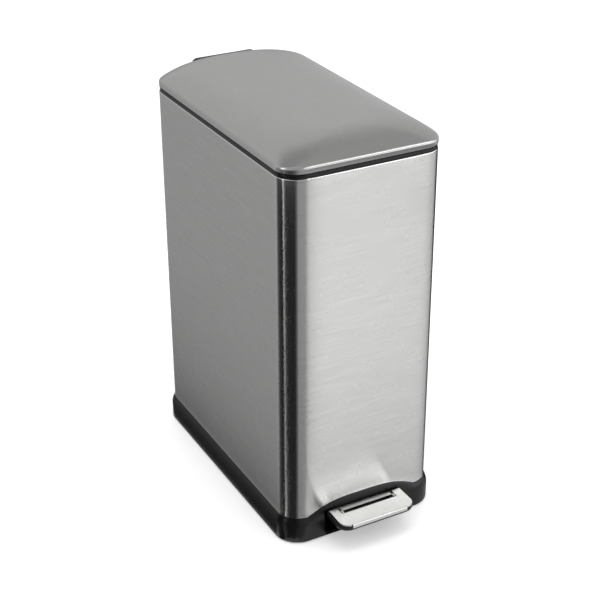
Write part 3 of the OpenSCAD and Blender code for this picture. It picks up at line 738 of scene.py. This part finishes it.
def tread_plate():
    """Steel tread: flat plate with round front corners, a folded front edge and a notch for the tongue"""
    bend = 2.6
    side = TREAD_HALF - TREAD_R
    corner_y = TREAD_FRONT + TREAD_R + 1
    notch = TONGUE_HALF + 1.6
    fold_y = TREAD_FRONT + bend
    outline = arc(-side, corner_y, TREAD_R, 180, 262, 14) + [(-side + 0.2, fold_y), (side - 0.2, fold_y)]
    outline += arc(side, corner_y, TREAD_R, 278, 360, 14)
    rear = [(TREAD_HALF, TREAD_BACK), (notch, TREAD_BACK), (notch, SLOT_FRONT), (-notch, SLOT_FRONT),
            (-notch, TREAD_BACK), (-TREAD_HALF, TREAD_BACK)]
    outline += rounded(rear, 1.2, 4)[2:-2]
    shape = Shape()
    shape.prism(outline, TREAD_TOP - TREAD_T, TREAD_TOP)
    fold = arc(fold_y, TREAD_TOP - bend, bend, 90, 180, 8)
    fold += [(TREAD_FRONT, TREAD_LOW.z), (TREAD_FRONT + TREAD_T, TREAD_LOW.z)]
    fold += arc(fold_y, TREAD_TOP - bend, bend - TREAD_T, 180, 90, 8)
    shape.prism(fold, -side + 0.6, side - 0.6, "x")
    build("tread_plate", shape, TREAD_STEEL, "pedal", ["pedal_plate"], bevel=0.45)


def lever():
    """Pedal lever: pressed tongue, stepped down behind, and two arms that run back under the floor pan"""
    back = FRONT + 25.0
    tread_low = TREAD_TOP - TREAD_T
    web_low = WEB_TOP - TREAD_T
    arm_low = 39.5
    roller_y, roller_z, roller_eye = 232.0, 14.0, 7.0
    pivot_y, pivot_z, pivot_eye = -44.5, 30.47, 9.0
    shape = Shape()
    step = [(TONGUE_FRONT + 3.0, tread_low), (TONGUE_FRONT, TREAD_TOP - 0.6), (TONGUE_FRONT, TREAD_TOP),
            (TONGUE_BEND, TREAD_TOP), (TONGUE_BEND, WEB_TOP), (back, WEB_TOP), (back, web_low),
            (TONGUE_BEND - TREAD_T, web_low), (TONGUE_BEND - TREAD_T, tread_low)]
    shape.prism(rounded(step, 0.4, 2), -TONGUE_HALF, TONGUE_HALF, "x")
    arm = [(FRONT - 40, arm_low), (FRONT - 40, tread_low), (SLOT_FRONT + 1, tread_low),
           (SLOT_FRONT + 1, TREAD_TOP), (TONGUE_BEND, TREAD_TOP), (TONGUE_BEND, WEB_TOP), (back, WEB_TOP)]
    arm += arc(roller_y, roller_z, roller_eye, 80, -100, 12)
    arm += [(pivot_y + 6, pivot_z - pivot_eye + 0.5)] + arc(pivot_y, pivot_z, pivot_eye, -70, -110, 4)
    arm += [(pivot_y - 30, pivot_z - 6.0), (back, 33.0), (FRONT, arm_low)]
    for start, end in both_sides(TONGUE_HALF, TONGUE_HALF - ARM_T):
        shape.prism(arm, start, end, "x")
    build("pedal_lever_pressing", shape, LEVER_STEEL, "pedal", ["pedal_lever"], bevel=0.4)


def pedal_tray():
    """Black tray under the tread, its lip a little outside the plate all round"""
    low, high = corners("pedal_tray")
    wall, lap = 2.5, 2.0
    r_front, r_rear = 19.0, 2.0
    columns = plan(high.x, low.y, high.y, r_front, r_rear, straight=12, bend=12)
    shape = Shape()
    sweep(shape, columns, rounded(
        [(-3.2, low.z), (-0.8, low.z + 1.8), (0, low.z + 5), (0, high.z), (-wall, high.z),
         (-wall, low.z + wall), (-wall - lap, low.z + wall), (-wall - lap, low.z)], 0.9))
    inside = wall + 1.5
    shape.prism([(x - nx * inside, y - ny * inside) for x, y, nx, ny in columns],
                low.z + 0.01, low.z + wall - 0.01)
    piece = build("tray_moulding", shape, BLACK_ABS, "pedal", ["pedal_tray"], sharp=40)
    # Its rear wall is open for the lever: a wide notch for the web, and a deeper slot for each arm
    y0, y1 = high.y - wall - lap, high.y + 2
    web = WEB_TOP - TREAD_T - FIT
    notch = Shape()
    notch.prism([(y0, web), (y1, web), (y1, high.z + 2), (y0, high.z + 2)],
                -TONGUE_HALF - FIT, TONGUE_HALF + FIT, "x")
    cut(piece, notch)
    floor_z = low.z + wall
    for start, end in both_sides(TONGUE_HALF + FIT, TONGUE_HALF - ARM_T - FIT):
        slot = Shape()
        slot.prism([(y0, floor_z), (y1, floor_z), (y1, high.z - 2), (y0, high.z - 2)], start, end, "x")
        cut(piece, slot)


def hinge_cap():
    """Cover over the hinge at the back of the lid, open below, with its two ends rounded off"""
    low, high = corners("hinge_cover")
    wall, r, end = 2.4, 8.0, 12.0
    roundness, end_drop, end_draw = 0.72, 0.65, 0.75
    side_low = 615.0

    def strip(x):
        """Section at a place across the cap, drawn in towards each end"""
        near = max(abs(x) - (high.x - end), 0) / end
        rise = math.sqrt(1 - roundness * near * near)
        top = low.z + (high.z - low.z) * (1 - end_drop + end_drop * rise)
        rear = high.y - (high.y - REAR) * end_draw * (1 - rise)
        line = [(rear, low.z), (rear, low.z + 8)] + arc(rear - r, top - r, r, 0, 90, 12)
        return line + [(low.y + 3.0, top - 0.2), (low.y, top - 0.9)]

    right = (0.4, 0.8, 0.85, 0.9, 0.94, 0.97, 0.99, 1)
    places = [high.x * t for t in [-t for t in reversed(right)] + [0, *right]]
    shape = Shape()
    shape.grid([[(x, y, z) for y, z in strip(x)] for x in places])
    side = [(REAR + 0.3, side_low + 5), (REAR + 0.3, side_low), (REAR + 0.7, low.z)]
    for x in (low.x, high.x):
        shape.cap([(x, y, z) for y, z in strip(x) + side])
    piece = build("hinge_cap", shape, BLACK_ABS, "lid", ["hinge_cover"], sharp=40)
    thicken(piece, wall)
    ease_edges(piece, 1.6, segments=4)


def bucket(name, node, finish):
    """Bucket with a rolled lip, drafted walls and a round bottom, and two ears for its bail"""
    low, high = corners(node)
    lip_r, lip_w, lip_h = 29.5, 7.0, 2.4
    lip_top = SHELF_TOP + 3.0
    wall, draft, foot = 2.0, 7.0, 9.0
    bottom = low.z + wall
    inner = -(lip_w + wall)
    drop = bottom + foot - lip_top + lip_h
    section = [(-wall * 0.2, lip_top - 3.0), (-wall * 0.2, lip_top - 0.9), (-1.2, lip_top),
               (inner + 2.6, lip_top), (inner + 0.8, lip_top - 0.6), (inner, lip_top - lip_h)]
    section += [(inner - draft * t, lip_top - lip_h + drop * t) for t in (0.25, 0.5, 0.75)]
    section += arc(inner - draft - foot, bottom + foot, foot, 0, -90, 6)
    columns = plan(high.x, low.y, high.y, lip_r, lip_r, straight=12, bend=14)
    rows = [[(x + nx * e, y + ny * e, z) for x, y, nx, ny in columns] for e, z in section]
    shape = Shape()
    shape.grid(rows, wrap_columns=True)
    shape.cap(rows[-1])
    piece = build(name, shape, finish, "root", [node], sharp=40)
    thicken(piece, wall, outward=True)
    ears = Shape()
    middle, ear_r = (low.y + high.y) / 2, 4
    ear_foot = lip_top - 3
    outline = [(middle + ear_r, ear_foot)] + arc(middle, high.z - ear_r, ear_r, 0, 180, 12)
    outline += [(middle - ear_r, ear_foot)]
    for start, end in both_sides(EAR_IN, EAR_IN + EAR_T):
        ears.prism(outline, start, end, "x")
    build(name + "_ears", ears, finish, "root", bevel=0.5)


def bail(name, node):
    """Strap bail with round edges and turned-in pins"""
    low, high = corners(node)
    pin_y, pin_r, pin_length = PIN_Y[node], 2.0, 6.0
    width, strap_t, bar_half = 5.0, 3.0, 78.0
    far = high.y if node == "front_bail" else low.y
    way = 1 if far > pin_y else -1
    w = way * width / 2
    bar = far - w
    bend = pin_y + way * 12.0
    end = pin_y - way * 0.8
    out = high.x
    z = (low.z + high.z) / 2
    right = [(out - width, end), (out, end), (out, bend), (bar_half + width / 2, bar + w), (0, bar + w)]
    inside = [(0, bar - w), (bar_half - width / 2, bar - w), (out - width, bend)]
    outline = right + [(-x, y) for x, y in reversed(right[:-1])]
    outline += [(-x, y) for x, y in reversed(inside[1:])] + inside[1:]
    shape = Shape()
    shape.prism(outline, z - strap_t / 2, z + strap_t / 2)
    pin = [(POLE, 0), (pin_r - 0.3, 0), (pin_r, 0.3), (pin_r, pin_length), (POLE, pin_length)]
    for side in (-1, 1):
        shape.lathe([(r, side * (EAR_IN + h)) for r, h in pin], (0, pin_y, z), "x", 24)
    build(name, shape, DRAWN_STEEL, node, [node], bevel=0.9)


HEAD_R = 4.0
HEAD_H = 2.0


def pan_head(shape, centre, axis, way, shank):
    """Pan-head screw: domed head with a small socket and the two bars of a cross, and its shank"""
    socket, shank_r = HEAD_H - 1.1, 2.0
    dome = [(POLE, socket), (HEAD_R * 0.16, socket), (HEAD_R * 0.2, HEAD_H), (HEAD_R * 0.55, HEAD_H * 0.95),
            (HEAD_R * 0.85, HEAD_H * 0.75), (HEAD_R, HEAD_H * 0.35), (HEAD_R, 0), (shank_r, 0),
            (shank_r, -shank), (POLE, -shank)]
    shape.lathe([(r, way * h) for r, h in dome], centre, axis, 28)
    seat = centre["xyz".index(axis)]
    u, v = [place for place, letter in zip(centre, "xyz") if letter != axis]
    arm, thin = HEAD_R * 0.5, HEAD_R * 0.1
    for du, dv in ((thin, arm), (arm, thin)):
        bar = [(u + su * du, v + sv * dv) for su, sv in ((-1, -1), (1, -1), (1, 1), (-1, 1))]
        shape.prism(bar, seat + way * (HEAD_H - 0.25), seat + way * (HEAD_H + 0.02), axis)


def screws():
    """Screws of the hinge bracket and of the lid's hinge plate"""
    low, high = corners("hinge_screws")
    heads = Shape()
    for x in (low.x + HEAD_R, high.x - HEAD_R):
        pan_head(heads, (x, high.y - HEAD_H, (low.z + high.z) / 2), "y", 1, shank=3)
    build("hinge_screw_heads", heads, ZINC_STEEL, "root", ["hinge_screws"])
    low, high = corners("lid_screws")
    heads = Shape()
    for x in (low.x + HEAD_R, high.x - HEAD_R):
        pan_head(heads, (x, (low.y + high.y) / 2, high.z), "z", -1, shank=2)
    build("lid_screw_heads", heads, ZINC_STEEL, "lid", ["lid_screws"])


def feet():
    """Round rubber feet with eased edges"""
    low, high = corners("feet")
    r, height = 12.0, 1.5
    profile = [(POLE, 0), (r - 1.2, 0), (r - 0.5, 0.25), (r - 0.1, 0.8), (r, height), (POLE, height)]
    shape = Shape()
    for x in (low.x + r, high.x - r):
        for y in (low.y + r, high.y - r):
            shape.lathe(profile, (x, y, 0), "z", 36)
    build("rubber_feet", shape, BLACK_RUBBER, "root", ["feet"], sharp=30)


CAD_FINISHES = {
    "floor_pan": BLACK_PP, "hinge_bracket": BLACK_ABS, "lid_hinge": BLACK_ABS, "rod_head": BLACK_ABS,
    "rod_foot": BLACK_ABS, "rod_collar": BLACK_ABS, "upper_guide": BLACK_ABS, "damper_body": BLACK_ABS,
    "damper_clips": BLACK_ABS, "lower_guide": WHITE_ACETAL, "lever_roller": WHITE_ACETAL,
    "hinge_pin": DRAWN_STEEL, "crank_pin": DRAWN_STEEL, "pivot_pin": DRAWN_STEEL, "push_rod": DRAWN_STEEL,
    "damper_rod": DRAWN_STEEL, "pivot_bracket": ZINC_STEEL, "pivot_clips": ZINC_STEEL,
    "pan_screws": ZINC_STEEL, "lid_bumpers": BLACK_RUBBER, "lever_stop": BLACK_RUBBER,
}


def dress_cad():
    """Gives each CAD node that stays its finish, and even shading on its curved faces"""
    for name, finish in CAD_FINISHES.items():
        mesh = frame["nodes"][name].data
        mesh.materials.clear()
        mesh.materials.append(finish)
        mesh.shade_smooth()
        mesh.set_sharp_from_angle(angle=math.radians(30))


def camera():
    """Camera at the photo's viewing angle"""
    data = bpy.data.cameras.new("camera")
    data.lens = LENS_MM
    data.sensor_width = SENSOR_MM
    data.clip_end = 50
    rig = put("camera", data)
    turn = Matrix.Rotation(-math.radians(CAMERA_YAW), 4, "Z")
    tilt = Matrix.Rotation(math.radians(90 - CAMERA_PITCH), 4, "X")
    roll = Matrix.Rotation(math.radians(CAMERA_ROLL), 4, "Z")
    rig.matrix_world = Matrix.Translation(Vector(CAMERA_AT) * MM) @ turn @ tilt @ roll
    bpy.context.scene.camera = rig


# The steel shows what stands round the bin, so the studio has cards and flags like a photographer's.
# They are out of the picture, and light nothing: only gloss and metal see them.
# Each row of a card is (bearing in degrees from +X towards +Y, brightness, ...), where 1 is white.
# Bearings and distances are from a point just inside one of the bin's front corners.
FRONT_LEFT = (-HALF + 10.0, FRONT + 10.0)
FRONT_RIGHT = (HALF - 25.0, FRONT + 25.0)
REACH = 3000.0
CARD_TOP = 4000.0
FLOOR_GAP = 0.5
BLACK = 0.02
# Wall: one brightness up to 1.2 m, one up to 1.85 m and one from 2.25 m. The soft box is at the front right,
# and a bright strip stands straight out to the left
WALL = [
    (-180, 3.5, 1.5, 1.5), (-175, 3.5, 1.5, 1.5), (-174, 0.6, 0.5, 0.5), (-94, 0.33, 0.3, 0.3),
    (-68, 0.33, 0.3, 0.3), (-65.5, 0.9, 0.5, 1.8), (-63, 1.8, 0.8, 2.6), (-40, 1.7, 0.65, 2.4),
    (-15, 1.4, 0.6, 2.0), (-6, 1.0, 0.6, 0.8), (0, 0.6, 0.45, 0.45), (55, 0.6, 0.53, 0.48),
    (62, 0.4, 0.53, 0.5), (137, 0.4, 0.47, 0.45), (142, 0.6, 0.45, 0.4), (174, 0.6, 0.5, 0.5),
    (175, 3.5, 1.5, 1.5), (180, 3.5, 1.5, 1.5),
]
WALL_TIERS = ((0, 1), (1200, 1), (1201, 2), (1850, 2), (2250, 3), (CARD_TOP, 3))
# Ceiling: grey, and brighter near the wall and over the bin
CEILING = [(-180, 0.27), (180, 0.27)]
CEILING_SHARES = ((REACH, 1.7), (2300, 1), (1500, 1), (10, 2.5))
# Floor round the front and the right: one brightness up to 1.3 m away, and one beyond
FRONT_FLOOR = [
    (-177.3, 0.4, 0.4), (-118, 0.4, 0.4), (-104, 0.33, 0.35), (-68, 0.33, 0.33), (-65.5, 0.65, 0.2),
    (-62, 1.05, 0.18), (-55, 0.92, 0.18), (-45, 0.76, 0.18), (-22, 0.66, 0.2), (-8, 0.58, 0.4),
    (2, 0.5, 0.45), (88, 0.5, 0.45),
]
FLOOR_SHARES = ((20, 1, 0.74), (300, 1, 0.84), (600, 1, 1), (1000, 1, 1.15), (1300, 1, 1.3), (1420, 2, 1),
                (REACH, 2, 1))
# Floor out to the left of the front left corner. Its bright strip draws the thin light line beside the flag
LEFT_EDGE_FLOOR = [(139, 0.4), (176, 0.4), (177, 1.4), (182.7, 1.4)]
# Black flags stand close to the two front corners, so that only the corners show them
FLAGS = {
    "left_flag": (FRONT_LEFT, [(138, BLACK), (177.4, BLACK)]),
    "corner_flag": (FRONT_LEFT, [(-177.6, BLACK), (-116, BLACK), (-106, 0.12), (-98, 0.3)]),
    "right_flag": (FRONT_RIGHT, [(-3, BLACK), (60, BLACK)]),
}
FLAG_START = 14
FLAG_REACH = 75.0
FLAG_LOW = 2 * FLOOR_GAP
# Floor along the left side: (distance from the side, brightness), with the bin's own shade near it
LEFT_FLOOR = [(2, 0.02), (30, 0.12), (120, 0.28), (250, 0.36), (1200, 0.36), (1350, 0.62), (3000, 0.62)]


def card_surface():
    """Plain card whose brightness is given point by point"""
    material, tree = new_tree("studio_card")
    level = add_node(tree, "ShaderNodeAttribute", attribute_name="level")
    glow = add_node(tree, "ShaderNodeEmission", {"Strength": level.outputs["Fac"]})
    add_node(tree, "ShaderNodeOutputMaterial", {"Surface": glow.outputs["Emission"]})
    material.cycles.emission_sampling = "NONE"
    return material


CARD = card_surface()


def card(name, rows, levels):
    """Sheet of points with a brightness at each, that shows only as a reflection"""
    shape = Shape()
    shape.grid(rows)
    mesh = raw_mesh(name, shape)
    level = mesh.attributes.new("level", "FLOAT", "POINT")
    level.data.foreach_set("value", [value for row in levels for value in row])
    mesh.materials.append(CARD)
    piece = put(name, mesh)
    for ray in ("camera", "diffuse", "transmission", "volume_scatter", "shadow"):
        setattr(piece, "visible_" + ray, False)


def round_card(name, centre, stops, rows):
    """Card that curves round a front corner of the bin, with a column about every few degrees.

    Its rows are (distance, height, which brightness of the stops, share of it).
    """
    degrees = 5
    columns = []
    for start, stop in zip(stops, stops[1:]):
        steps = max(1, round((stop[0] - start[0]) / degrees))
        columns += [[a + (b - a) * k / steps for a, b in zip(start, stop)] for k in range(steps)]
    columns.append(stops[-1])
    turns = [math.radians(column[0]) for column in columns]
    places = [[(centre[0] + reach * math.cos(a), centre[1] + reach * math.sin(a), z) for a in turns]
              for reach, z, _, _ in rows]
    card(name, places, [[column[tier] * share for column in columns] for _, _, tier, share in rows])


def studio():
    """Soft box at the front right, black flags at the front corners, grey cards all round and above"""
    round_card("wall", FRONT_LEFT, WALL, [(REACH, z, tier, 1) for z, tier in WALL_TIERS])
    round_card("ceiling", FRONT_LEFT, CEILING,
               [(reach, CARD_TOP, 1, share) for reach, share in CEILING_SHARES])
    for name, (centre, stops) in FLAGS.items():
        round_card(name, centre, stops, [(FLAG_START, FLAG_LOW, 1, 1), (FLAG_REACH, FLAG_LOW, 1, 1),
                                         (FLAG_REACH, LID_LOW, 1, 1)])
    round_card("front_floor", FRONT_LEFT, FRONT_FLOOR,
               [(reach, FLOOR_GAP, tier, share) for reach, tier, share in FLOOR_SHARES])
    round_card("left_edge_floor", FRONT_LEFT, LEFT_EDGE_FLOOR,
               [(reach, FLOOR_GAP, 1, 1) for reach in (20, REACH)])
    slant = 0.7
    rows = [[(-HALF - FLARE - away, y, FLOOR_GAP) for y in (FRONT + CORNER_R + away * slant, REAR + REACH)]
            for away, _ in LEFT_FLOOR]
    card("left_floor", rows, [[level, level] for _, level in LEFT_FLOOR])
    under = [[(x, y, 3 * FLOOR_GAP) for x in (-TREAD_HALF, TREAD_HALF)] for y in (TREAD_FRONT - 6.0, FRONT)]
    card("pedal_shade", under, [[BLACK, BLACK]] * 2)


# Half the floor's width, in metres
FLOOR_HALF = 12.0
# Light of the floor's own, only for the camera and in reflections: it brings the lit floor up to white
FLOOR_LIFT = 0.3
WHITE = hex_colour("#FFFFFF")


def floor():
    """Wide white floor that keeps a soft shadow"""
    material, tree = new_tree("white_studio_floor")
    matt = add_node(tree, "ShaderNodeBsdfDiffuse", {"Color": hex_colour("#F0F0F0")})
    ray = add_node(tree, "ShaderNodeLightPath").outputs
    seen = add_node(tree, "ShaderNodeMath", {0: ray["Is Camera Ray"], 1: ray["Is Glossy Ray"]},
                    operation="MAXIMUM")
    either = add_node(tree, "ShaderNodeMath", {0: seen.outputs["Value"], 1: ray["Is Transmission Ray"]},
                      operation="MAXIMUM")
    lift = add_node(tree, "ShaderNodeMath", {0: either.outputs["Value"], 1: FLOOR_LIFT},
                    operation="MULTIPLY")
    glow = add_node(tree, "ShaderNodeEmission", {"Color": WHITE, "Strength": lift.outputs["Value"]})
    both = add_node(tree, "ShaderNodeAddShader", {0: matt.outputs["BSDF"], 1: glow.outputs["Emission"]})
    add_node(tree, "ShaderNodeOutputMaterial", {"Surface": both.outputs["Shader"]})
    mesh = bpy.data.meshes.new("studio_floor")
    square = [(x * FLOOR_HALF, y * FLOOR_HALF, 0) for x, y in ((-1, -1), (1, -1), (1, 1), (-1, 1))]
    mesh.from_pydata(square, [], [(0, 1, 2, 3)])
    mesh.materials.append(material)
    put("studio_floor", mesh)


def world():
    """White room all round"""
    room = bpy.data.worlds.new("white_room")
    bpy.context.scene.world = room
    room.use_nodes = True
    tree = room.node_tree
    tree.nodes.clear()
    white = add_node(tree, "ShaderNodeBackground", {"Color": WHITE, "Strength": 1.0})
    add_node(tree, "ShaderNodeOutputWorld", {"Surface": white.outputs["Background"]})


LAMP_SIZE = 1600
LAMP_HEIGHT = 2600
LAMP_WATTS = 20


def overhead_lamp():
    """Weak square lamp straight above, that gives the bin its soft shadow"""
    data = bpy.data.lights.new("top", "AREA")
    data.shape = "SQUARE"
    data.size = LAMP_SIZE * MM
    data.energy = LAMP_WATTS
    lamp = put("top", data)
    lamp.location = Vector((0, 0, LAMP_HEIGHT)) * MM
    lamp.visible_glossy = False


camera()
floor()
world()
studio()
overhead_lamp()
sleeve()
base()
lid_dome()
lid_liner()
top_rim()
tread_plate()
lever()
pedal_tray()
hinge_cap()
bucket("front_bucket_moulding", "front_bucket", GREY_PP)
bucket("rear_bucket_moulding", "rear_bucket", BLUE_PP)
bail("front_bail_strap", "front_bail")
bail("rear_bail_strap", "rear_bail")
screws()
feet()
dress_cad()

bpy.context.scene.view_settings.view_transform = "Standard"
